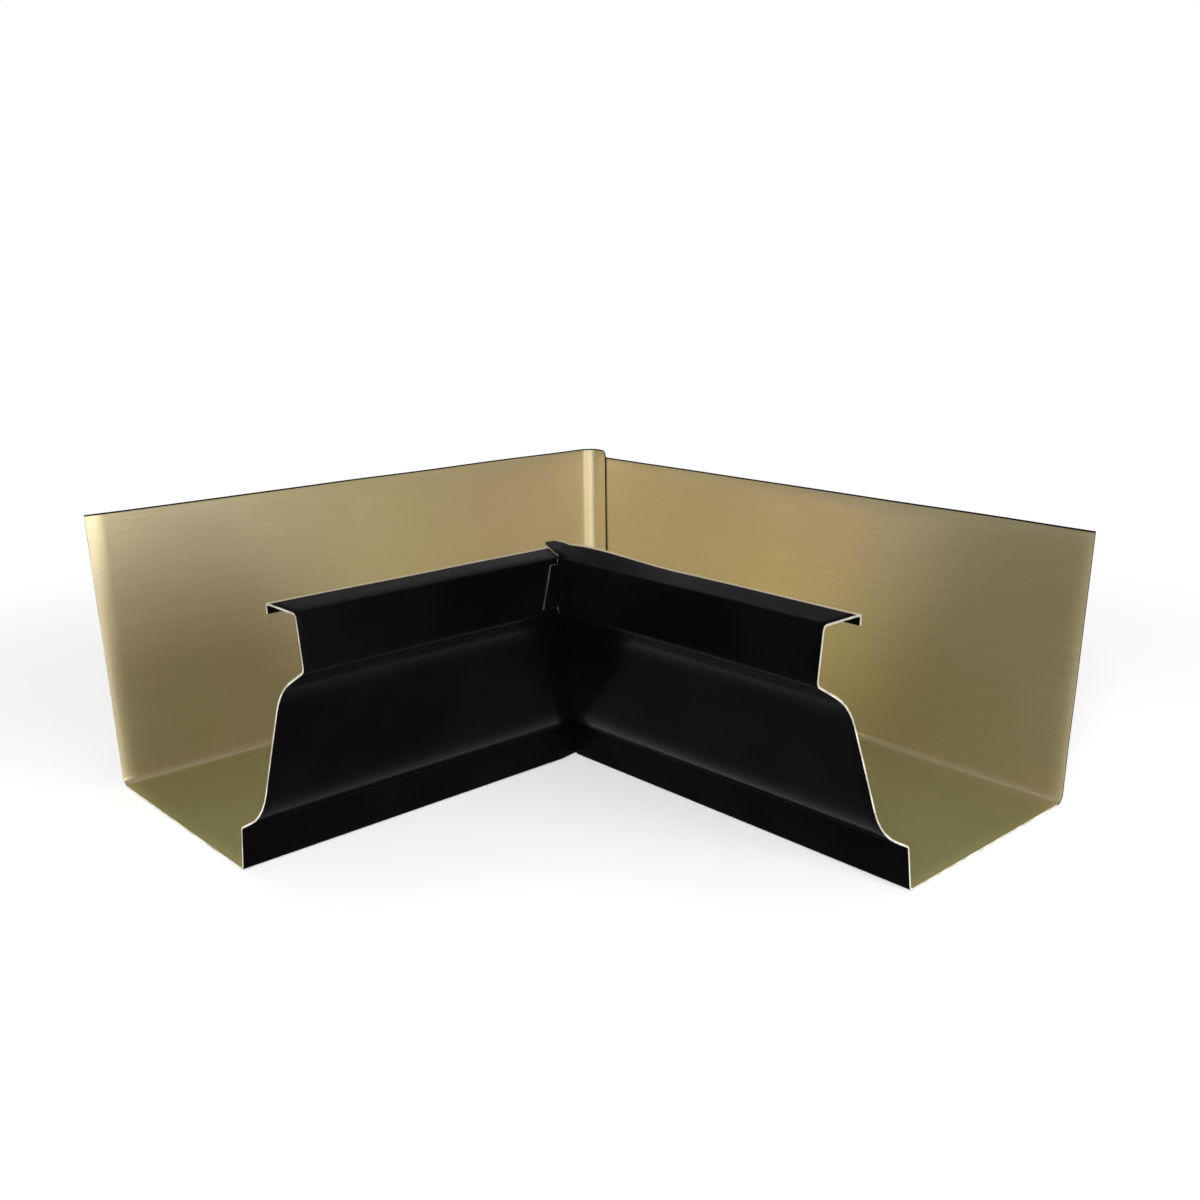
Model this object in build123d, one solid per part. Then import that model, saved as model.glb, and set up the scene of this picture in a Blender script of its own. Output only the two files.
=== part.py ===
# Inside miter of a K-style rain gutter: two roll-formed halves, mitred and lapped at a square corner.
# Origin at the outer back corner on the underside. The left leg runs along -Y and the right leg along +X,
# so the flat backs stand on the planes x = 0 and y = 0, and the moulded fronts look out between the legs.
from build123d import *
import os

# Sheet
sheet = 0.6                # aluminium sheet thickness
hem_bend = 1.5 * sheet     # outside radius of the lip's turned-down edge
tight_bend = 2.5 * sheet   # outside radius of the other folded edges
foot_bend = 4 * sheet      # outside radius at the foot of the band
soft_bend = 3.0            # outside radius between the floor and the back

# Legs, from the back corner to the square-cut ends, and the height of each back
left_leg = 214.0
right_leg = 225.5
left_back_height = 92.0
right_back_height = 89.0

# Front profile: depths from the back face, heights from the underside
floor_depth = 85.7         # back face to the foot of the riser
riser_lean = 2.6           # the riser's top stands this far forward of its foot
riser_height = 14.2
ledge_depth = 14.2         # sloping ledge above the riser, up to the ogee's bulge
ledge_rise = 8.0
bulge_radius = 26.0        # convex lower half of the ogee
slope_depth = 16.8         # steep slope between the bulge and the cove
slope_rise = 40.9
cove_radius = 20.0         # concave upper half of the ogee
shelf_depth = 13.4         # sloping shelf under the band
shelf_rise = 8.1
band_height = 14.8
band_lean = 1.4            # the band's top stands this far behind its foot
lip_width = 14.8
hem_drop = 3.0             # turned-down back edge of the lip

# Lapped corner: the left half runs inside the right one, and the right half's tabs go over the left band
joggle = 3.0               # length along a leg where the sheet is doubled before the miter line
lap = 12.0                 # length along the right leg of the left half's inner lap
corner_bend = 5.0          # outside radius of the left back where it turns the corner
back_lap = 4.5             # flat of that turned end, inside the right back
free_corner = 2.5          # rounding of its top corner
tab_top = 2.0              # width of the tab on the left band, at its top
tab_foot = 5.5             # and at its foot
tongue = 2.5               # how far the right lip's pointed end passes the left lip's back edge
tongue_bevel = 4.5         # length of the bevel that makes its point
tongue_cover = 7.0         # how far it lies along the left lip

# Outside corners of the front in depth and height, from the foot of the riser to the end of the hem
riser_foot = Vector(floor_depth, 0)
riser_top = riser_foot + Vector(riser_lean, riser_height)
bulge = riser_top + Vector(ledge_depth, ledge_rise)
cove = bulge + Vector(slope_depth, slope_rise)
band_foot = cove + Vector(shelf_depth, shelf_rise)
band_top = band_foot + Vector(-band_lean, band_height)
lip_back = band_top - Vector(lip_width, 0)
hem_end = lip_back - Vector(0, hem_drop)
ogee_corners = [riser_foot, riser_top, bulge, cove]
ogee_bends = [tight_bend, tight_bend, bulge_radius, cove_radius]
lip_corners = [band_foot, band_top, lip_back]
lip_bends = [foot_bend, tight_bend, hem_bend]
reach = left_leg + right_leg


def parallel(corners, bends, inset):
    """A bent line, moved sideways to its left by an inset with its bends kept concentric."""
    runs = [(end - start).normalized() for start, end in zip(corners, corners[1:])]
    left = [Vector(-run.Y, run.X) for run in runs]
    points = [corners[0] + left[0] * inset]
    radii = []
    for corner, before, after, bend in zip(corners[1:-1], left, left[1:], bends):
        points.append(corner + (before + after) * (inset / (1 + before.dot(after))))
        turns_left = before.cross(after).Z > 0
        radii.append(bend - inset if turns_left else bend + inset)
    points.append(corners[-1] + left[-1] * inset)
    return FilletPolyline(*points, radius=radii)


def sheet_section(corners, bends, layer=0):
    """Section of a sheet bent along a line, on its left side, inside a number of layers of sheet."""
    near = parallel(corners, bends, layer * sheet)
    far = parallel(corners, bends, (layer + 1) * sheet)
    ends = [Line(near @ 0, far @ 0), Line(near @ 1, far @ 1)]
    return make_face(near.edges() + far.edges() + ends)


def along_leg(section, length):
    """A section in depth and height, drawn out along the left leg."""
    return extrude(Plane.XZ * section, amount=length)


def to_right_leg(solid):
    """The same form on the right leg, mirrored in the miter plane."""
    return mirror(solid, about=Plane((0, 0, 0), z_dir=(1, 1, 0)))


def past_miter(distance=0.0):
    """All that lies to the right of the miter plane, moved a distance along the right leg."""
    half_space = Box(reach, 2 * reach, reach, align=(Align.MIN, Align.CENTER, Align.CENTER))
    return Pos(distance, 0, 0) * Rot(0, 0, 45) * half_space


def channel(back_height, length):
    """One leg of gutter: back, floor, ogee front, band, lip and hem, bent from one sheet."""
    back = [Vector(0, back_height), Vector(0, 0)]
    corners = back + ogee_corners + lip_corners + [hem_end]
    return along_leg(sheet_section(corners, [soft_bend] + ogee_bends + lip_bends), length)


def inner_lap():
    """The left half's lap inside the right floor and ogee, with the doubled sheet that steps up to it."""
    shelf_middle = (cove + band_foot) / 2
    corners = [Vector(corner_bend, 0)] + ogee_corners + [shelf_middle]
    strip = along_leg(sheet_section(corners, ogee_bends, layer=1), left_leg)
    step = (strip - past_miter()) & past_miter(-joggle)
    return step + ((to_right_leg(strip) & past_miter()) - past_miter(lap))


def corner_turn():
    """The left back's end: it turns the corner and lies flat against the inside of the right back."""
    free_end = Vector(corner_bend + back_lap, -sheet)
    corner = Vector(0, -sheet)
    into_wall = corner - Vector(0, 1.5 * corner_bend)
    plan = sheet_section([free_end, corner, into_wall], [corner_bend])
    turn = Pos(0, 0, soft_bend) * extrude(plan, amount=left_back_height - soft_bend)
    top_corner = turn.edges().filter_by(Axis.Y).group_by(Axis.X)[-1].sort_by(Axis.Z)[-1]
    return fillet(top_corner, free_corner)


def left_half():
    """Left leg with its laps: it goes inside the right leg at the back, the floor and the ogee."""
    leg = channel(left_back_height, left_leg) - past_miter()
    turn_start = sheet + corner_bend
    square_end = Box(2 * corner_bend, 2 * turn_start, reach, align=(Align.CENTER, Align.CENTER, Align.MIN))
    return leg - Pos(0, 0, soft_bend) * square_end + corner_turn() + inner_lap()


def band_tab():
    """Tapered tab of the right half that turns the corner and lies flat on the face of the left band."""
    root = sheet / 2
    up_band = (band_top - band_foot).normalized()
    foot = band_foot + up_band * foot_bend
    top = band_top - up_band * tight_bend
    plane = Plane((foot.X, -foot.X, foot.Y), x_dir=(0, -1, 0), z_dir=(up_band.Y, 0, -up_band.X))
    rise = (top - foot).length
    drift = foot.X - top.X
    outline = Polyline((-root, 0), (tab_foot, 0), (tab_top - drift, rise), (-root - drift, rise), close=True)
    return extrude(plane * make_face(outline), amount=sheet)


def lip_tongue():
    """Pointed end of the right lip, lying on the left lip and past its back edge."""
    back = lip_back.X
    front = band_top.X - tight_bend
    plan = Polyline(
        (back + joggle, -back),
        (back - tongue + tongue_bevel, -back),
        (back - tongue, -back - tongue_bevel),
        (back, -back - tongue_cover),
        (front, -front),
        (front + joggle, -front),
        close=True,
    )
    return Pos(0, 0, lip_back.Y) * extrude(make_face(plan), amount=sheet)


def right_half():
    """Right leg with the two tabs that close the outside of the corner."""
    leg = to_right_leg(channel(right_back_height, right_leg)) & past_miter()
    return leg + band_tab() + lip_tongue()


os.makedirs("parts", exist_ok=True)
export_step(left_half(), "parts/left_half.step")
export_step(right_half(), "parts/right_half.step")
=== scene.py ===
import math

import bpy
from mathutils import Matrix, Vector


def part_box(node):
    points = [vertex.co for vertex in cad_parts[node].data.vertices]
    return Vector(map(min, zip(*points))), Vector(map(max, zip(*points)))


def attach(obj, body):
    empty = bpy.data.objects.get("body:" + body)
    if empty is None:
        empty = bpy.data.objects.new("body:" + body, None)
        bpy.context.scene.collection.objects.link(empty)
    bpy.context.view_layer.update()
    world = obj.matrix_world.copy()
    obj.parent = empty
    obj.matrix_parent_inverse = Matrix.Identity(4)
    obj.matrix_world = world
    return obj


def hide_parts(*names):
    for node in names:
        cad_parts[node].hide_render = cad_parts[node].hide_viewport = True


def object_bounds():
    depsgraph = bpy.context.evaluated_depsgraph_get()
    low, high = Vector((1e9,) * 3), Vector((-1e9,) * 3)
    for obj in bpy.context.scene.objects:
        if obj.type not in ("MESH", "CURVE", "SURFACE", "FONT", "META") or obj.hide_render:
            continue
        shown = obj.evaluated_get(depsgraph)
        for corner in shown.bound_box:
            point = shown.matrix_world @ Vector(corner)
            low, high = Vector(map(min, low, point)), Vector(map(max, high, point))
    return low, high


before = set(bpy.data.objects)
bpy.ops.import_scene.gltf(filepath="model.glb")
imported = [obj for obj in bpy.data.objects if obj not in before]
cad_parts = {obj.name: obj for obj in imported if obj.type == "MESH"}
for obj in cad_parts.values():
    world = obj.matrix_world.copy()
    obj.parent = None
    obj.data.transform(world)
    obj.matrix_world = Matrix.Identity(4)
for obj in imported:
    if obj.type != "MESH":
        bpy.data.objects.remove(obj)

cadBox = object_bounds()
mm = 0.001


# Small helpers for node trees

def addNode(tree, kind, **settings):
    made = tree.nodes.new(kind)
    for name, value in settings.items():
        setattr(made, name, value)
    return made


def feed(tree, socket, value):
    if isinstance(value, bpy.types.NodeSocket):
        tree.links.new(value, socket)
    else:
        socket.default_value = value


def calc(tree, operation, first, second=0.0, third=0.0):
    made = addNode(tree, "ShaderNodeMath", operation=operation)
    for socket, value in zip(made.inputs, (first, second, third)):
        feed(tree, socket, value)
    return made.outputs[0]


def parts(tree, vector):
    made = addNode(tree, "ShaderNodeSeparateXYZ")
    feed(tree, made.inputs[0], vector)
    return made.outputs


def joined(tree, x, y, z):
    made = addNode(tree, "ShaderNodeCombineXYZ")
    for socket, value in zip(made.inputs, (x, y, z)):
        feed(tree, socket, value)
    return made.outputs[0]


def eased(tree, start, end, value):
    made = addNode(tree, "ShaderNodeMapRange", interpolation_type="SMOOTHSTEP")
    for name, number in (("Value", value), ("From Min", start), ("From Max", end)):
        feed(tree, made.inputs[name], number)
    return made.outputs[0]


# Shared finishes, as shader node groups

def makeGroup(name, inputs, outputs):
    group = bpy.data.node_groups.new(name, "ShaderNodeTree")
    for label, value in inputs.items():
        socket = group.interface.new_socket(label, in_out="INPUT", socket_type="NodeSocketFloat")
        socket.default_value = value
    for label, kind in outputs.items():
        group.interface.new_socket(label, in_out="OUTPUT", socket_type=kind)
    start = addNode(group, "NodeGroupInput")
    end = addNode(group, "NodeGroupOutput")
    return group, start.outputs, end.inputs


def rollingGrainGroup():   # fine streaks along the sheet, from the rolling mill
    group, start, end = makeGroup(
        "rollingGrain",
        {"Streaks per metre": 2600.0, "Stretch": 60.0},
        {"Fine": "NodeSocketFloat", "Broad": "NodeSocketFloat"},
    )
    uv = parts(group, addNode(group, "ShaderNodeUVMap", uv_map="UVMap").outputs[0])
    for output, scale, detail in (("Fine", 1.0, 3.0), ("Broad", 0.12, 2.0)):
        across = calc(group, "MULTIPLY", start["Streaks per metre"], scale)
        along = calc(group, "DIVIDE", across, start["Stretch"])
        stretched = (calc(group, "MULTIPLY", uv[0], along), calc(group, "MULTIPLY", uv[1], across), 0.0)
        place = joined(group, *stretched)
        streaks = addNode(group, "ShaderNodeTexNoise", noise_dimensions="2D")
        feed(group, streaks.inputs["Vector"], place)
        streaks.inputs["Scale"].default_value = 1.0
        streaks.inputs["Detail"].default_value = detail
        feed(group, end[output], streaks.outputs[0])
    return group


def cloudGroup():   # slow change over the surface, in coat thickness and handling
    group, start, end = makeGroup(
        "softCloud",
        {"Scale": 14.0, "Low": 0.35, "High": 0.65},
        {"Cloud": "NodeSocketFloat"},
    )
    place = addNode(group, "ShaderNodeTexCoord").outputs["Object"]
    cloud = addNode(group, "ShaderNodeTexNoise")
    feed(group, cloud.inputs["Vector"], place)
    feed(group, cloud.inputs["Scale"], start["Scale"])
    cloud.inputs["Detail"].default_value = 3.0
    feed(group, end["Cloud"], eased(group, start["Low"], start["High"], cloud.outputs[0]))
    return group


rollingGrain = rollingGrainGroup()
softCloud = cloudGroup()
print("shared finishes ready")


def placeGroup(tree, group, **values):
    made = addNode(tree, "ShaderNodeGroup", node_tree=group)
    for label, value in values.items():
        made.inputs[label].default_value = value
    return made.outputs


def startMaterial(name, settings):
    material = bpy.data.materials.new(name)
    material.use_nodes = True
    tree = material.node_tree
    shader = tree.nodes["Principled BSDF"]
    for label, value in settings.items():
        shader.inputs[label].default_value = value
    return material, tree, shader


def blendColours(tree, factor, first, second):
    made = addNode(tree, "ShaderNodeMix", data_type="RGBA")
    feed(tree, made.inputs[0], factor)
    feed(tree, made.inputs[6], first)
    feed(tree, made.inputs[7], second)
    return made.outputs[2]


def raiseBump(tree, shader, height, strength, distance):
    bump = addNode(tree, "ShaderNodeBump")
    bump.inputs["Strength"].default_value = strength
    bump.inputs["Distance"].default_value = distance
    feed(tree, bump.inputs["Height"], height)
    feed(tree, shader.inputs["Normal"], bump.outputs[0])


blackPaint = {
    "shader": {"Metallic": 0.0, "Specular IOR Level": 0.007},
    "deep": (0.0014, 0.0014, 0.0015, 1),
    "wearAndFoldSheen": (0.0028, 0.0027, 0.0026, 1),
    # painted reflection along the lip's back fold: its pale tan colour, and the mask values over which it
    # comes in
    "paintedFoldSheen": (0.50, 0.43, 0.30, 1),
    "foldSheenRamp": (0.3, 0.8),
    "roughness": (0.17, 0.25),
    "cloudScale": 22.0,
    "peelScale": 900.0,
    "peelStrength": 0.25,
    "peelHeight": 0.02 * mm,
}


def blackPaintMaterial():   # baked coil paint: satin, with a fine orange peel
    material, tree, shader = startMaterial("black coil paint", blackPaint["shader"])
    cloud = placeGroup(tree, softCloud, Scale=blackPaint["cloudScale"])["Cloud"]
    paint = blendColours(tree, cloud, blackPaint["deep"], blackPaint["wearAndFoldSheen"])
    # painted reflection along the lip's back fold: the fold mask blends the black paint to pale tan
    wearAndFoldSheen = addNode(tree, "ShaderNodeAttribute", attribute_name="wearAndFoldSheen").outputs["Fac"]
    bareAndSheen = eased(tree, *blackPaint["foldSheenRamp"], wearAndFoldSheen)
    feed(tree, shader.inputs["Base Color"], blendColours(tree, bareAndSheen, paint, blackPaint["paintedFoldSheen"]))
    low, high = blackPaint["roughness"]
    feed(tree, shader.inputs["Roughness"], calc(tree, "MULTIPLY_ADD", cloud, high - low, low))
    peel = addNode(tree, "ShaderNodeTexNoise")
    feed(tree, peel.inputs["Vector"], addNode(tree, "ShaderNodeTexCoord").outputs["Object"])
    peel.inputs["Scale"].default_value = blackPaint["peelScale"]
    raiseBump(tree, shader, peel.outputs[0], blackPaint["peelStrength"], blackPaint["peelHeight"])
    return material


washCoat = {
    "shader": {
        "Metallic": 0.85,
        "Specular IOR Level": 0.3,
        "Anisotropic": 0.65,
        "Anisotropic Rotation": 0.25,
    },
    "tan": (0.562, 0.468, 0.316, 1),
    "olive": (0.455, 0.453, 0.202, 1),
    "darkTopEdge": (0.3 * mm, 0.6 * mm),   # drawn black within this distance of the back's top edge, on the inner face
    "floorStart": (88 * mm, 98 * mm),    # where the floor begins and ends, down the sheet from its top
    "floorEnd": (168 * mm, 180 * mm),
    "floorLightTint": 0.8,                   # painted light: the floor is drawn greener than the walls, for the cooler light that falls on it
    "wallOlive": 0.35,
    "cloudScale": 9.0,
    "streakShade": 0.11,
    "roughness": (0.33, 0.43),
    "grainStrength": 0.3,
    "grainHeight": 0.02 * mm,
    "strained": (3 * mm, 9 * mm),        # coat dulled by the bend at the back corner, to this far from it
    "strainedRoughness": 0.2,
}


def washCoatMaterial():   # thin clear yellow wash over mill-finish aluminium
    material, tree, shader = startMaterial("khaki wash coat", washCoat["shader"])
    grain = placeGroup(tree, rollingGrain)
    cloud = placeGroup(tree, softCloud, Scale=washCoat["cloudScale"])["Cloud"]
    along, across = parts(tree, addNode(tree, "ShaderNodeUVMap", uv_map="UVMap").outputs[0])[:2]
    pastStart = eased(tree, *washCoat["floorStart"], across)
    pastEnd = eased(tree, *washCoat["floorEnd"], across)
    onFloor = calc(tree, "SUBTRACT", pastStart, pastEnd)
    # random coat tint on the walls, and painted light on the floor, which is drawn greener
    greener = calc(tree, "MAXIMUM", calc(tree, "MULTIPLY", cloud, washCoat["wallOlive"]),
                   calc(tree, "MULTIPLY", onFloor, washCoat["floorLightTint"]))
    coat = blendColours(tree, greener, washCoat["tan"], washCoat["olive"])
    depth = washCoat["streakShade"]
    shade = calc(tree, "MULTIPLY_ADD", grain["Fine"], 2 * depth, 1 - depth)
    streaked = addNode(tree, "ShaderNodeVectorMath", operation="SCALE")
    feed(tree, streaked.inputs[0], coat)
    feed(tree, streaked.inputs["Scale"], shade)
    coated = eased(tree, *washCoat["darkTopEdge"], across)
    colour = blendColours(tree, coated, blackPaint["deep"], streaked.outputs[0])
    feed(tree, shader.inputs["Base Color"], colour)
    low, high = washCoat["roughness"]
    even = calc(tree, "MULTIPLY_ADD", grain["Broad"], high - low, low)
    dulled = eased(tree, *reversed(washCoat["strained"]), calc(tree, "ABSOLUTE", along))
    roughness = calc(tree, "MULTIPLY_ADD", dulled, washCoat["strainedRoughness"], even)
    feed(tree, shader.inputs["Roughness"], roughness)
    raiseBump(tree, shader, grain["Fine"], washCoat["grainStrength"], washCoat["grainHeight"])
    tangent = addNode(tree, "ShaderNodeTangent", direction_type="UV_MAP", uv_map="UVMap")
    feed(tree, shader.inputs["Tangent"], tangent.outputs[0])
    return material


cutEdge = {
    "shader": {"Metallic": 1.0},
    "bright": (0.90, 0.87, 0.77, 1),
    "dull": (0.55, 0.52, 0.43, 1),
    "roughness": (0.28, 0.45),
    "cloudScale": 160.0,
}


def cutEdgeMaterial():   # sheared aluminium, bare and bright
    material, tree, shader = startMaterial("bare cut edge", cutEdge["shader"])
    cloud = placeGroup(tree, softCloud, Scale=cutEdge["cloudScale"])["Cloud"]
    feed(tree, shader.inputs["Base Color"], blendColours(tree, cloud, cutEdge["bright"], cutEdge["dull"]))
    low, high = cutEdge["roughness"]
    feed(tree, shader.inputs["Roughness"], calc(tree, "MULTIPLY_ADD", cloud, high - low, low))
    return material


finishes = [blackPaintMaterial(), washCoatMaterial(), cutEdgeMaterial()]
paintPlace, coatPlace, edgePlace = range(len(finishes))
print("materials ready:", [material.name for material in finishes])


# The bent line of the K-style sheet, in depth from the back and height

kProfile = {
    "sheet": 0.6 * mm,
    "floorDepth": 85.7 * mm,
    "riser": (2.6 * mm, 14.2 * mm),    # run and rise of each straight stretch
    "ledge": (14.2 * mm, 8.0 * mm),
    "slope": (16.8 * mm, 40.9 * mm),
    "shelf": (13.4 * mm, 8.1 * mm),
    "band": (-1.4 * mm, 14.8 * mm),
    "lip": (-14.8 * mm, 0.0),
    "hem": (0.0, -3.0 * mm),
    "bends": (3.0, 1.5, 1.5, 26.0, 20.0, 2.4, 1.5, 0.9),   # outside radii in millimetres, back to hem
    "foldSheenWidth": 1.0 * mm,              # width of the painted reflection along the lip's back fold
    "spacing": 6.0 * mm,               # longest step along a straight stretch
    "arcStep": math.radians(9),
    "closest": 0.02 * mm,              # stops nearer than this are one
}
zones = ("back", "floor", "riser", "ledge", "slope", "shelf", "band", "lip", "hem")
backZone, shelfZone, bandZone, lipZone = (zones.index(name) for name in ("back", "shelf", "band", "lip"))
halfZone = 0.5            # a bend lies half-way between the zones on its two sides
foldStops = [-share * kProfile["foldSheenWidth"] for share in (0.9, 1.5)]     # the painted fold reflection fades out between these


def profileCorners(backHeight):
    corners = [Vector((0, backHeight)), Vector((0, 0)), Vector((kProfile["floorDepth"], 0))]
    for zone in zones[2:]:
        corners.append(corners[-1] + Vector(kProfile[zone]))
    return corners


def turned(vector, angle):
    return Matrix.Rotation(angle, 2) @ vector


def bentLine(backHeight, extraStops):
    corners = profileCorners(backHeight)
    runs = [(b - a).normalized() for a, b in zip(corners, corners[1:])]
    stops = []            # (place, inward direction, zone number)
    start = corners[0]
    for k, run in enumerate(runs):
        inward = turned(run, math.pi / 2)
        last = k == len(runs) - 1
        radius = 0 if last else kProfile["bends"][k] * mm
        angle = 0 if last else run.angle_signed(runs[k + 1]) * -1
        end = corners[k + 1] - run * radius * math.tan(abs(angle) / 2)
        length = (end - start).length
        steps = max(1, math.ceil(length / kProfile["spacing"]))
        cuts = [length * n / steps for n in range(steps + 1)]
        cuts += [cut % length for cut in extraStops.get(zones[k], [])]     # a minus counts back from the end
        cuts.sort()
        stops += [(start + run * cut, inward, k) for n, cut in enumerate(cuts)
                  if n == 0 or cut - cuts[n - 1] > kProfile["closest"]]
        if last:
            break
        side = math.copysign(radius, angle)
        centre = end + inward * side
        arcSteps = max(3, math.ceil(abs(angle) / kProfile["arcStep"]))
        for n in range(1, arcSteps):
            facing = turned(inward, angle * n / arcSteps)
            stops.append((centre - facing * side, facing, k + halfZone))
        start = centre - turned(inward, angle) * side
    return stops


def profileMesh(name, stops, lapRule):
    mesh = bpy.data.meshes.new(name)
    places = [stop[0] for stop in stops]
    frontOfLip = [stop[2] for stop in stops].index(lipZone)
    lipBack = places[-1]
    foldWidth = kProfile["bends"][lipZone] * mm + kProfile["foldSheenWidth"]
    mesh.from_pydata([(p.x, 0, p.y) for p in places], [(n, n + 1) for n in range(len(places) - 1)], [])
    columns = {label: [] for label in ("inward", "across", "lap", "raised", "straight", "bow", "wearAndFoldSheen")}
    travelled = 0.0
    for n, (place, facing, zone) in enumerate(stops):
        travelled += (place - places[max(n - 1, 0)]).length
        columns["inward"] += [facing.x, 0, facing.y]
        columns["across"].append(travelled)
        for label, value in zip(("lap", "raised", "straight"), lapRule(place, zone)):
            columns[label].append(value)
        towardsBack = (places[frontOfLip].x - place.x) / -kProfile["lip"][0] if zone >= lipZone else 0.0
        columns["bow"].append(min(1.0, max(0.0, towardsBack)))
        # fold mask for the painted reflection along the lip's back fold
        onFold = zone == lipZone + halfZone or zone == lipZone and place.x - lipBack.x < foldWidth
        columns["wearAndFoldSheen"].append(float(onFold))
    for label, values in columns.items():
        kind, key = ("FLOAT_VECTOR", "vector") if label == "inward" else ("FLOAT", "value")
        mesh.attributes.new(label, kind, "POINT").data.foreach_set(key, values)
    return mesh


# Geometry Nodes tree: a bent line drawn out along one leg to its miter, and on past it where it laps

bowShape = {"rise": (-8 * mm, 12 * mm), "fall": (14 * mm, 48 * mm)}     # measured from the miter
leastLap = 0.05 * mm
leastAway = 1e-6          # keeps a division from zero


def foldedSheetTree():
    tree = bpy.data.node_groups.new("foldedSheet", "GeometryNodeTree")
    face = tree.interface
    face.new_socket("Geometry", in_out="INPUT", socket_type="NodeSocketGeometry")
    for label in ("Leg Length", "Sheet", "Joggle", "Lap Side", "Corner Radius", "Ripple", "Ripple Scale",
                  "Foot Height", "Bow"):
        face.new_socket(label, in_out="INPUT", socket_type="NodeSocketFloat")
    for label in ("Leg Steps", "Joggle Steps", "Lap Steps"):
        face.new_socket(label, in_out="INPUT", socket_type="NodeSocketInt")
    face.new_socket("Right Leg", in_out="INPUT", socket_type="NodeSocketFloat")
    face.new_socket("Finish", in_out="INPUT", socket_type="NodeSocketMaterial")
    face.new_socket("Geometry", in_out="OUTPUT", socket_type="NodeSocketGeometry")
    given = addNode(tree, "NodeGroupInput").outputs
    done = addNode(tree, "NodeGroupOutput").inputs

    # a grid with one row of points for each stop of the line
    size = addNode(tree, "GeometryNodeAttributeDomainSize", component="MESH")
    feed(tree, size.inputs[0], given["Geometry"])
    bendStep = calc(tree, "ADD", given["Leg Steps"], given["Joggle Steps"])
    stations = calc(tree, "ADD", calc(tree, "ADD", bendStep, given["Lap Steps"]), 1.0)
    grid = addNode(tree, "GeometryNodeMeshGrid")
    feed(tree, grid.inputs["Vertices X"], size.outputs["Point Count"])
    feed(tree, grid.inputs["Vertices Y"], stations)
    index = addNode(tree, "GeometryNodeInputIndex").outputs[0]
    row = calc(tree, "FLOOR", calc(tree, "DIVIDE", calc(tree, "ADD", index, 0.5), stations))
    station = calc(tree, "SUBTRACT", index, calc(tree, "MULTIPLY", row, stations))

    def atStop(kind, field):
        sample = addNode(tree, "GeometryNodeSampleIndex", data_type=kind, domain="POINT")
        feed(tree, sample.inputs["Geometry"], given["Geometry"])
        feed(tree, sample.inputs["Value"], field)
        feed(tree, sample.inputs["Index"], row)
        return sample.outputs[0]

    def named(label, kind="FLOAT"):
        made = addNode(tree, "GeometryNodeInputNamedAttribute", data_type=kind)
        made.inputs["Name"].default_value = label
        return atStop(kind, made.outputs[0])

    place = parts(tree, atStop("FLOAT_VECTOR", addNode(tree, "GeometryNodeInputPosition").outputs[0]))
    inward = parts(tree, named("inward", "FLOAT_VECTOR"))
    lap, raised, straight = named("lap"), named("raised"), named("straight")

    # distance from the miter line, falling to zero there and below zero on the lap
    def share(step, count):
        made = addNode(tree, "ShaderNodeClamp")
        feed(tree, made.inputs[0], calc(tree, "DIVIDE", step, count))
        return made.outputs[0]

    legShare = share(station, given["Leg Steps"])
    joggleShare = share(calc(tree, "SUBTRACT", station, given["Leg Steps"]), given["Joggle Steps"])
    lapShare = share(calc(tree, "SUBTRACT", station, bendStep), given["Lap Steps"])
    legRun = calc(tree, "SUBTRACT", calc(tree, "SUBTRACT", given["Leg Length"], place[0]), given["Joggle"])
    onLeg = calc(tree, "MULTIPLY", legRun, calc(tree, "SUBTRACT", 1.0, legShare))
    onJoggle = calc(tree, "MULTIPLY", given["Joggle"], calc(tree, "SUBTRACT", 1.0, joggleShare))
    before = calc(tree, "ADD", onLeg, onJoggle)
    past = calc(tree, "MULTIPLY", lap, lapShare)

    # the sheet steps one thickness in or out before it laps
    step = eased(tree, given["Joggle"], 0.0, before)
    inset = calc(tree, "MULTIPLY", calc(tree, "MULTIPLY", step, raised),
                 calc(tree, "MULTIPLY", given["Lap Side"], given["Sheet"]))
    depth = calc(tree, "MULTIPLY_ADD", inset, inward[0], place[0])
    swell = calc(tree, "MULTIPLY", eased(tree, *bowShape["rise"], before),
                 calc(tree, "SUBTRACT", 1.0, eased(tree, *bowShape["fall"], before)))
    swell = calc(tree, "MULTIPLY", calc(tree, "MULTIPLY", given["Bow"], named("bow")), swell)
    height = calc(tree, "ADD", swell, calc(tree, "MULTIPLY_ADD", inset, inward[2], place[2]))
    sideways = calc(tree, "MULTIPLY", past, calc(tree, "SUBTRACT", 1.0, straight))
    onward = calc(tree, "MULTIPLY", past, straight)
    x = calc(tree, "ADD", depth, sideways)
    y = calc(tree, "SUBTRACT", onward, calc(tree, "ADD", depth, before))

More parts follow.
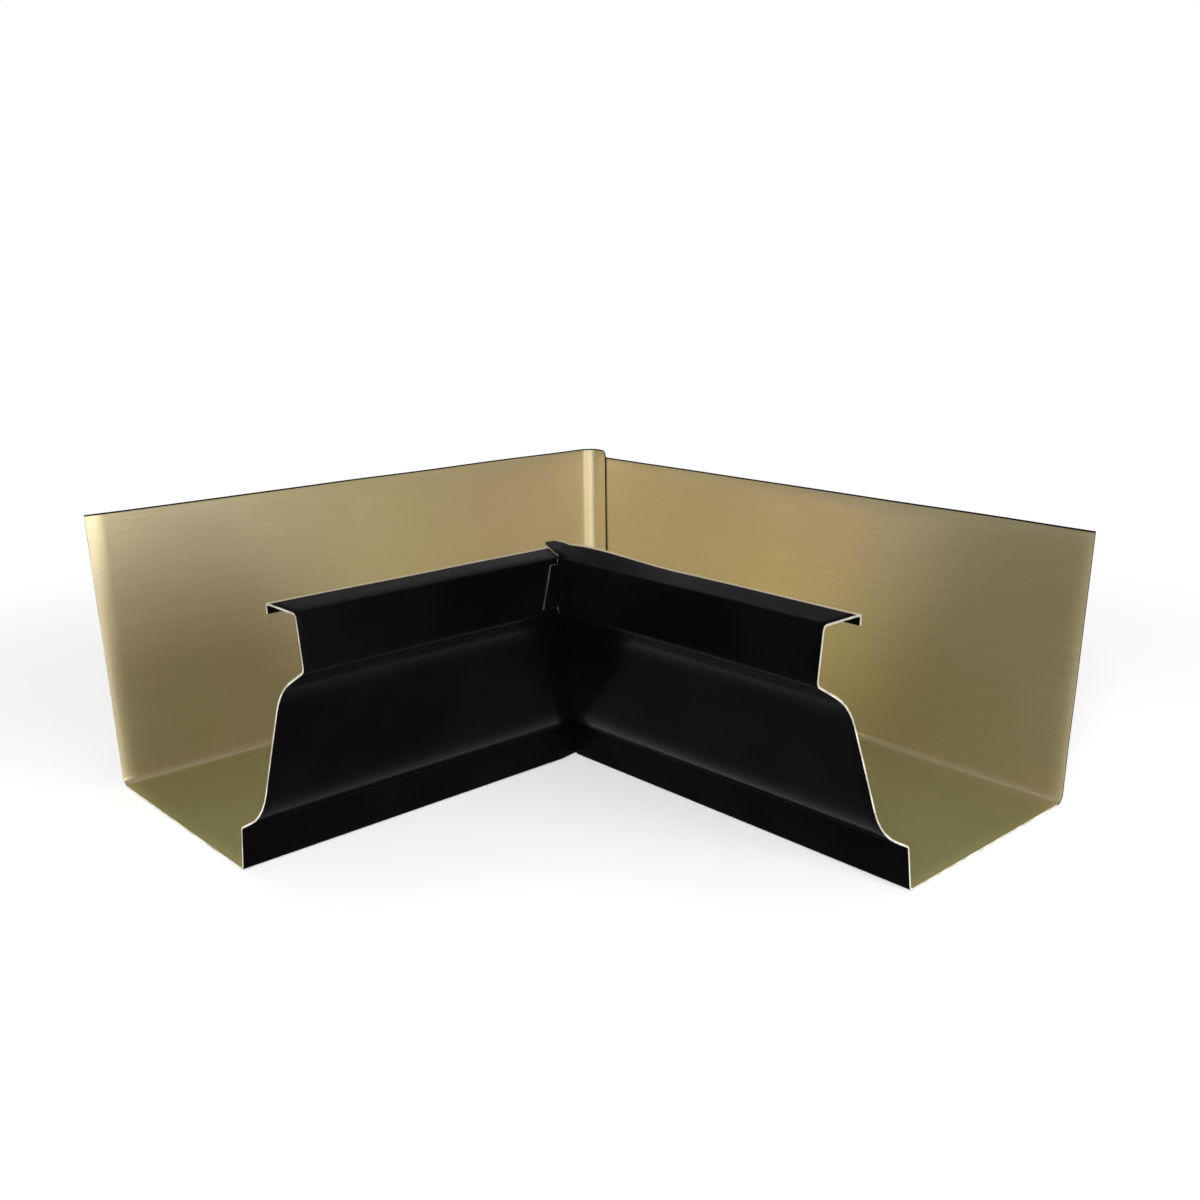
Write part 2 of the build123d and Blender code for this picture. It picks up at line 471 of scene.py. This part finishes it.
    # round turn of the back at the corner: a square path becomes a circle about its centre
    centre = calc(tree, "ADD", given["Corner Radius"], given["Sheet"])
    toX = calc(tree, "SUBTRACT", centre, x)
    toY = calc(tree, "ADD", centre, y)
    inCorner = calc(tree, "GREATER_THAN", given["Corner Radius"], 0.0)
    for towards in (toX, toY):
        inCorner = calc(tree, "MULTIPLY", inCorner, calc(tree, "GREATER_THAN", towards, 0.0))
    square = calc(tree, "MAXIMUM", toX, toY)
    squares = [calc(tree, "MULTIPLY", towards, towards) for towards in (toX, toY)]
    away = calc(tree, "SQRT", calc(tree, "ADD", *squares))
    pull = calc(tree, "DIVIDE", square, calc(tree, "MAXIMUM", away, leastAway))
    pull = calc(tree, "ADD", 1.0, calc(tree, "MULTIPLY", inCorner, calc(tree, "SUBTRACT", pull, 1.0)))
    x = calc(tree, "SUBTRACT", centre, calc(tree, "MULTIPLY", toX, pull))
    y = calc(tree, "SUBTRACT", calc(tree, "MULTIPLY", toY, pull), centre)

    # the right leg is the left one mirrored in the miter plane
    swap = given["Right Leg"]
    mirroredSum = calc(tree, "MULTIPLY", calc(tree, "ADD", x, y), swap)
    legX = calc(tree, "SUBTRACT", x, mirroredSum)
    legY = calc(tree, "SUBTRACT", y, mirroredSum)

    along = calc(tree, "SUBTRACT", calc(tree, "ADD", place[0], before), past)
    strip = joined(tree, along, named("across"), 0.0)
    keepStrip = addNode(tree, "GeometryNodeStoreNamedAttribute", data_type="FLOAT_VECTOR", domain="POINT")
    keepStrip.inputs["Name"].default_value = "strip"
    feed(tree, keepStrip.inputs["Geometry"], grid.outputs["Mesh"])
    feed(tree, keepStrip.inputs["Value"], strip)

    # the fold mask of the painted reflection, passed on to the paint
    keepFoldSheen = addNode(tree, "GeometryNodeStoreNamedAttribute", data_type="FLOAT", domain="POINT")
    keepFoldSheen.inputs["Name"].default_value = "wearAndFoldSheen"
    feed(tree, keepFoldSheen.inputs["Geometry"], keepStrip.outputs[0])
    feed(tree, keepFoldSheen.inputs["Value"], named("wearAndFoldSheen"))

    laid = addNode(tree, "GeometryNodeSetPosition")
    feed(tree, laid.inputs["Geometry"], keepFoldSheen.outputs[0])
    feed(tree, laid.inputs["Position"], joined(tree, legX, legY, height))

    # no lap at stops that have none
    spare = addNode(tree, "GeometryNodeDeleteGeometry", domain="POINT")
    unlapped = calc(tree, "LESS_THAN", lap, leastLap)
    feed(tree, spare.inputs["Geometry"], laid.outputs[0])
    pastMiter = calc(tree, "GREATER_THAN", station, calc(tree, "ADD", bendStep, 0.5))
    feed(tree, spare.inputs["Selection"], calc(tree, "MULTIPLY", unlapped, pastMiter))

    # slight unevenness of hand-formed sheet, none at the floor
    noise = addNode(tree, "ShaderNodeTexNoise")
    feed(tree, noise.inputs["Vector"], addNode(tree, "GeometryNodeInputPosition").outputs[0])
    feed(tree, noise.inputs["Scale"], given["Ripple Scale"])
    noise.inputs["Detail"].default_value = 0.0
    centred = addNode(tree, "ShaderNodeVectorMath", operation="SUBTRACT")
    feed(tree, centred.inputs[0], noise.outputs["Color"])
    centred.inputs[1].default_value = (0.5, 0.5, 0.5)
    here = parts(tree, addNode(tree, "GeometryNodeInputPosition").outputs[0])
    amount = calc(tree, "MULTIPLY", given["Ripple"], eased(tree, 0.0, given["Foot Height"], here[2]))
    wavy = addNode(tree, "ShaderNodeVectorMath", operation="SCALE")
    feed(tree, wavy.inputs[0], centred.outputs[0])
    feed(tree, wavy.inputs["Scale"], amount)
    rippled = addNode(tree, "GeometryNodeSetPosition")
    feed(tree, rippled.inputs["Geometry"], spare.outputs[0])
    feed(tree, rippled.inputs["Offset"], wavy.outputs[0])

    # the strip's own length and width, in metres, as its UV map
    stored = addNode(tree, "GeometryNodeInputNamedAttribute", data_type="FLOAT_VECTOR")
    stored.inputs["Name"].default_value = "strip"
    uv = addNode(tree, "GeometryNodeStoreNamedAttribute", data_type="FLOAT2", domain="CORNER")
    uv.inputs["Name"].default_value = "UVMap"
    feed(tree, uv.inputs["Geometry"], rippled.outputs[0])
    feed(tree, uv.inputs["Value"], stored.outputs[0])

    whole = addNode(tree, "GeometryNodeRealizeInstances")
    feed(tree, whole.inputs[0], uv.outputs[0])
    painted = addNode(tree, "GeometryNodeSetMaterial")
    feed(tree, painted.inputs["Geometry"], whole.outputs[0])
    feed(tree, painted.inputs["Material"], given["Finish"])
    feed(tree, done["Geometry"], painted.outputs[0])
    return tree


foldedSheet = foldedSheetTree()
print("sheet tree ready:", len(foldedSheet.nodes), "nodes")


handForming = {"Ripple": 0.5 * mm, "Ripple Scale": 22.0, "Foot Height": 20 * mm}     # the same on both halves


def drawSheet(name, profile, settings, inputs):
    drawn = bpy.data.objects.new(name + "Line", profile)
    bpy.context.collection.objects.link(drawn)
    modifier = drawn.modifiers.new("foldedSheet", "NODES")
    modifier.node_group = foldedSheet
    items = foldedSheet.interface.items_tree
    sockets = {item.name: item.identifier for item in items if item.in_out == "INPUT"}
    legSteps, joggleSteps, lapSteps = settings["steps"]
    given = {
        "Sheet": kProfile["sheet"], "Joggle": settings["joggle"], "Leg Steps": legSteps,
        "Joggle Steps": joggleSteps, "Lap Steps": lapSteps, "Finish": finishes[paintPlace],
    }
    for label, value in {**given, **handForming, **inputs}.items():
        modifier[sockets[label]] = value
    graph = bpy.context.evaluated_depsgraph_get()
    mesh = bpy.data.meshes.new_from_object(drawn.evaluated_get(graph), depsgraph=graph)
    bpy.data.objects.remove(drawn)
    bpy.data.meshes.remove(profile)
    mesh.name = name
    return mesh


edgeFinish = {
    "rounding": 0.1 * mm,
    "roundingSteps": 2,
    "roundedFrom": math.radians(50),     # edges sharper than this are rounded
    "sharpFrom": math.radians(24),       # and shading breaks at edges sharper than this
    "alike": 0.2,                        # sine within which a face lies along a direction
    "edgeFacing": 0.5,                   # cosine within which a cut edge counts as turned one way
    "hemFacing": 0.6,
    "backLapDepth": 3 * mm,
}


def turnOutwards(mesh, outward):   # the faces of the back tell which way the sheet faces
    alike = edgeFinish["alike"]
    normals = [polygon.normal for polygon in mesh.polygons]
    facing = sum((normal for normal in normals if normal.cross(outward).length < alike), Vector())
    if facing.dot(outward) < 0:
        mesh.flip_normals()


def darkEdgesAndPaintedShade(polygon, top, towardsFront):   # black on the back's top cut edges; painted shade on the back lap's free edge and the hem's inner face
    facing = edgeFinish["edgeFacing"]
    centre, normal = polygon.center, polygon.normal
    if polygon.material_index == edgePlace:
        onTop = centre.z > top - kProfile["sheet"] and normal.z > facing
        # painted shade: the shadow gap at the back lap's free edge, drawn as black paint
        onBackLap = centre.y > -edgeFinish["backLapDepth"] and normal.x > facing
        return onTop or onBackLap
    # painted shade: the hem's inner face, in shade under the lip, drawn as black paint
    if polygon.material_index == coatPlace:
        turnedForward = normal.dot(towardsFront) > edgeFinish["hemFacing"]
        return turnedForward and centre.dot(towardsFront) > kProfile["floorDepth"]
    return False


def finishSheet(name, mesh, node, towardsFront):
    piece = bpy.data.objects.new(name, mesh)
    bpy.context.collection.objects.link(piece)
    mesh.materials.clear()
    for material in finishes:
        mesh.materials.append(material)
    thick = piece.modifiers.new("thickness", "SOLIDIFY")
    thick.thickness = kProfile["sheet"]
    thick.offset = -1
    thick.use_even_offset = True
    thick.material_offset = coatPlace         # wash coat on the inner face
    thick.material_offset_rim = edgePlace     # bare metal round the cut edges
    soften = piece.modifiers.new("edge", "BEVEL")
    soften.width = edgeFinish["rounding"]
    soften.segments = edgeFinish["roundingSteps"]
    soften.limit_method = "ANGLE"
    soften.angle_limit = edgeFinish["roundedFrom"]
    graph = bpy.context.evaluated_depsgraph_get()
    solid = bpy.data.meshes.new_from_object(piece.evaluated_get(graph), depsgraph=graph)
    piece.modifiers.clear()
    piece.data = solid
    bpy.data.meshes.remove(mesh)
    solid.name = name
    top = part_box(node)[1][2]
    # these faces take the black paint: dark top edges, and painted shade at the back lap and hem
    for polygon in solid.polygons:
        if darkEdgesAndPaintedShade(polygon, top, towardsFront):
            polygon.material_index = paintPlace
    solid.shade_smooth()
    solid.set_sharp_from_angle(angle=edgeFinish["sharpFrom"])
    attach(piece, "root")
    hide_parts(node)
    return piece


leftSheet = {
    "joggle": 7.5 * mm,
    "lap": 12.0 * mm,          # past the miter, on the floor and the ogee
    "backLap": 9.5 * mm,       # past the corner, on the back
    "freeCorner": 2.5 * mm,    # rounding of the back lap's top corner
    "cornerStops": (0.1, 0.3, 0.6, 1.0),     # shares of that rounding
    "cornerRadius": 5.0 * mm,
    "steps": (34, 16, 10),     # along the leg, over the joggle, along the lap
}


def leftLapRule(place, zone, backHeight):
    shelfMiddle = profileCorners(backHeight)[shelfZone] + Vector(kProfile["shelf"]) / 2
    if zone == backZone:
        below = backHeight - place.y
        rounding = leftSheet["freeCorner"]
        short = max(0.0, rounding - below)
        cut = rounding - math.sqrt(max(0.0, rounding ** 2 - short ** 2))
        return leftSheet["backLap"] - cut, 1.0, 0.0
    if zone < shelfZone or (zone == shelfZone and place.x <= shelfMiddle.x):
        return leftSheet["lap"], 1.0, 0.0
    return 0.0, 0.0, 0.0


def makeLeftHalf():
    low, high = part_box("left_half")
    backHeight = high[2]
    nearTop = [leftSheet["freeCorner"] * share for share in leftSheet["cornerStops"]]
    stops = bentLine(backHeight, {"back": nearTop, "lip": foldStops})
    profile = profileMesh("leftProfile", stops, lambda place, zone: leftLapRule(place, zone, backHeight))
    mesh = drawSheet("leftHalf", profile, leftSheet, {
        "Leg Length": -low[1], "Lap Side": 1.0, "Right Leg": 0.0,
        "Corner Radius": leftSheet["cornerRadius"], "Bow": 0.0,
    })
    turnOutwards(mesh, Vector((-1, 0, 0)))
    return finishSheet("leftHalf", mesh, "left_half", Vector((1, 0, 0)))


rightSheet = {
    "joggle": 4.0 * mm,
    "tabFoot": 5.5 * mm,       # tab on the left band, at its foot and at its top
    "tabTop": 2.0 * mm,
    # tongue of lip over the left lip: distance from the lip's back edge, and length past the miter
    "tongue": ((0.0, 0.5 * mm), (4.5 * mm, 7.0 * mm), (7.0 * mm, 7.0 * mm), (12.8 * mm, 0.6 * mm)),
    "bow": 1.3 * mm,           # rise of the lip's back edge where it springs over the left lip
    "steps": (36, 10, 8),
}


def alongTable(table, value):
    for (x0, y0), (x1, y1) in zip(table, table[1:]):
        if x0 <= value <= x1:
            return y0 + (y1 - y0) * (value - x0) / (x1 - x0)
    return 0.0


def rightLapRule(place, zone, backHeight):
    corners = profileCorners(backHeight)
    bandFoot, bandTop, lipBack = corners[bandZone:lipZone + 2]
    if zone == bandZone:
        up = (place.y - bandFoot.y) / (bandTop.y - bandFoot.y)
        foot, top = rightSheet["tabFoot"], rightSheet["tabTop"]
        return foot + (top - foot) * up, 1.0, 0.0
    if zone == lipZone:
        length = alongTable(rightSheet["tongue"], place.x - lipBack.x)
        return length, 1.0 if length > 0 else 0.0, 1.0
    return 0.0, 0.0, 0.0


def makeRightHalf():
    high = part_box("right_half")[1]
    backHeight = high[2]
    lipLength = -kProfile["lip"][0]
    frontBend = kProfile["bends"][bandZone] * mm
    tongueStops = [lipLength - frontBend - point[0] for point in rightSheet["tongue"]]
    stops = bentLine(backHeight, {"lip": tongueStops + foldStops})
    profile = profileMesh("rightProfile", stops, lambda place, zone: rightLapRule(place, zone, backHeight))
    mesh = drawSheet("rightHalf", profile, rightSheet, {
        "Leg Length": high[0], "Lap Side": -1.0, "Right Leg": 1.0,
        "Corner Radius": 0.0, "Bow": rightSheet["bow"],
    })
    turnOutwards(mesh, Vector((0, 1, 0)))
    return finishSheet("rightHalf", mesh, "right_half", Vector((0, -1, 0)))


leftHalf = makeLeftHalf()
rightHalf = makeRightHalf()
print("halves made:", len(leftHalf.data.polygons), "and", len(rightHalf.data.polygons), "faces")


# Stage: pale floor, soft lamps, camera

stageSettings = {
    "floorSize": 60.0,
    "floorDrop": 0.3 * mm,
    "floorColour": (0.9, 0.9, 0.9, 1),
    "floorGlow": 0.3,
    "floorRoughness": 0.9,
    "floorFade": (0.2, 0.45),       # distance from the part over which the floor turns plain white
    "sweepTop": (0.186, 0.196),     # sine of the height at which the white sweep gives way to the room
    "sweepAway": (-0.73, 0.68),     # level direction of the white end of the sweep
    "sweepTurn": (-0.3, 0.4),       # cosines between which the sweep turns from dim to white
    "sweepFront": 0.4,              # the sweep's brightness at the other end
    "roomLight": 0.2,
}


def sweepLight(tree, towards):   # bright behind the part, dimmer on the camera's side
    awayX, awayY = stageSettings["sweepAway"]
    facing = calc(tree, "MULTIPLY_ADD", towards[0], awayX, calc(tree, "MULTIPLY", towards[1], awayY))
    front = stageSettings["sweepFront"]
    return calc(tree, "MULTIPLY_ADD", eased(tree, *stageSettings["sweepTurn"], facing), 1 - front, front)


def makeFloor():
    half = stageSettings["floorSize"] / 2
    mesh = bpy.data.meshes.new("floor")
    level = -stageSettings["floorDrop"]
    corners = [(-half, -half, level), (half, -half, level), (half, half, level), (-half, half, level)]
    mesh.from_pydata(corners, [], [(0, 1, 2, 3)])
    floor = bpy.data.objects.new("floor", mesh)
    bpy.context.collection.objects.link(floor)
    material, tree, shader = startMaterial("pale floor", {
        "Base Color": stageSettings["floorColour"],
        "Roughness": stageSettings["floorRoughness"],
        "Specular IOR Level": 0.0,
        "Emission Color": (1, 1, 1, 1),
        "Emission Strength": stageSettings["floorGlow"],
    })
    low, high = cadBox
    fromPart = addNode(tree, "ShaderNodeVectorMath", operation="SUBTRACT")
    feed(tree, fromPart.inputs[0], addNode(tree, "ShaderNodeTexCoord").outputs["Object"])
    fromPart.inputs[1].default_value = ((low[0] + high[0]) / 2, (low[1] + high[1]) / 2, 0)
    away = addNode(tree, "ShaderNodeVectorMath", operation="LENGTH")
    towards = addNode(tree, "ShaderNodeVectorMath", operation="NORMALIZE")
    for measure in (away, towards):
        feed(tree, measure.inputs[0], fromPart.outputs[0])
    near, far = stageSettings["floorFade"]
    fade = eased(tree, near, far, away.outputs["Value"])
    white = addNode(tree, "ShaderNodeEmission")
    feed(tree, white.inputs["Strength"], sweepLight(tree, parts(tree, towards.outputs[0])))
    blend = addNode(tree, "ShaderNodeMixShader")
    feed(tree, blend.inputs[0], fade)
    feed(tree, blend.inputs[1], shader.outputs[0])
    feed(tree, blend.inputs[2], white.outputs[0])
    feed(tree, tree.nodes["Material Output"].inputs["Surface"], blend.outputs[0])
    mesh.materials.append(material)


def makeWorld():   # a white sweep round the horizon, a dim room above
    world = bpy.data.worlds.new("studio")
    bpy.context.scene.world = world
    world.use_nodes = True
    tree = world.node_tree
    back = tree.nodes["Background"]
    back.inputs["Color"].default_value = (1, 1, 1, 1)
    towards = parts(tree, addNode(tree, "ShaderNodeTexCoord").outputs["Generated"])
    low, high = stageSettings["sweepTop"]
    room = eased(tree, low, high, towards[2])
    sweep = sweepLight(tree, towards)
    above = calc(tree, "MULTIPLY", room, calc(tree, "SUBTRACT", stageSettings["roomLight"], sweep))
    feed(tree, back.inputs["Strength"], calc(tree, "ADD", sweep, above))


lampAim = Vector((0.1, -0.1, 0.04))     # near the middle of the part
lamps = {   # bearing from +X and height in degrees, size in metres, power in watts
    "rightFront": {"bearing": 0, "height": 12, "size": (0.5, 0.5), "watts": 8.2},
    "leftFront": {"bearing": 300, "height": 14, "size": (0.6, 0.6), "watts": 2},
    "photographer": {"bearing": 312, "height": 27, "size": (0.6, 0.35), "watts": 12.5},
    "overhead": {"bearing": 135, "height": 72, "size": (0.8, 0.8), "watts": 1.5},
}
lampDistance = 1.2


def makeLamps():
    for name, lamp in lamps.items():
        data = bpy.data.lights.new(name, "AREA")
        data.shape = "RECTANGLE"
        data.size, data.size_y = lamp["size"]
        data.energy = lamp["watts"]
        made = bpy.data.objects.new(name, data)
        bearing, height = math.radians(lamp["bearing"]), math.radians(lamp["height"])
        level = math.cos(height)
        out = Vector((math.cos(bearing) * level, math.sin(bearing) * level, math.sin(height)))
        made.location = lampAim + out * lampDistance
        made.rotation_euler = (-out).to_track_quat("-Z", "Y").to_euler()
        made.visible_camera = False
        bpy.context.collection.objects.link(made)


photoCamera = {
    "place": (389.2 * mm, -349.8 * mm, 163.1 * mm),
    "forward": (-0.6914, 0.6446, -0.3263),
    "right": (0.6833, 0.7301, -0.0056),
    "focalPixels": 1213.4,
    "centrePixel": (614.8, 690.3),
    "imagePixels": 1200,
    "sensor": 36.0,
    "clipStart": 10 * mm,
}


def makeCamera():
    data = bpy.data.cameras.new("camera")
    wide = photoCamera["imagePixels"]
    data.sensor_width = photoCamera["sensor"]
    data.lens = photoCamera["focalPixels"] / wide * photoCamera["sensor"]
    data.shift_x = -(photoCamera["centrePixel"][0] - wide / 2) / wide
    data.shift_y = (photoCamera["centrePixel"][1] - wide / 2) / wide
    data.clip_start = photoCamera["clipStart"]
    made = bpy.data.objects.new("camera", data)
    forward = Vector(photoCamera["forward"]).normalized()
    right = Vector(photoCamera["right"])
    right = (right - forward * right.dot(forward)).normalized()
    up = right.cross(forward)
    turn = Matrix((right, up, -forward)).transposed()
    made.matrix_world = Matrix.Translation(photoCamera["place"]) @ turn.to_4x4()
    bpy.context.collection.objects.link(made)
    bpy.context.scene.camera = made


makeFloor()
makeWorld()
makeLamps()
makeCamera()
bpy.context.scene.view_settings.view_transform = "Standard"
print("stage ready")
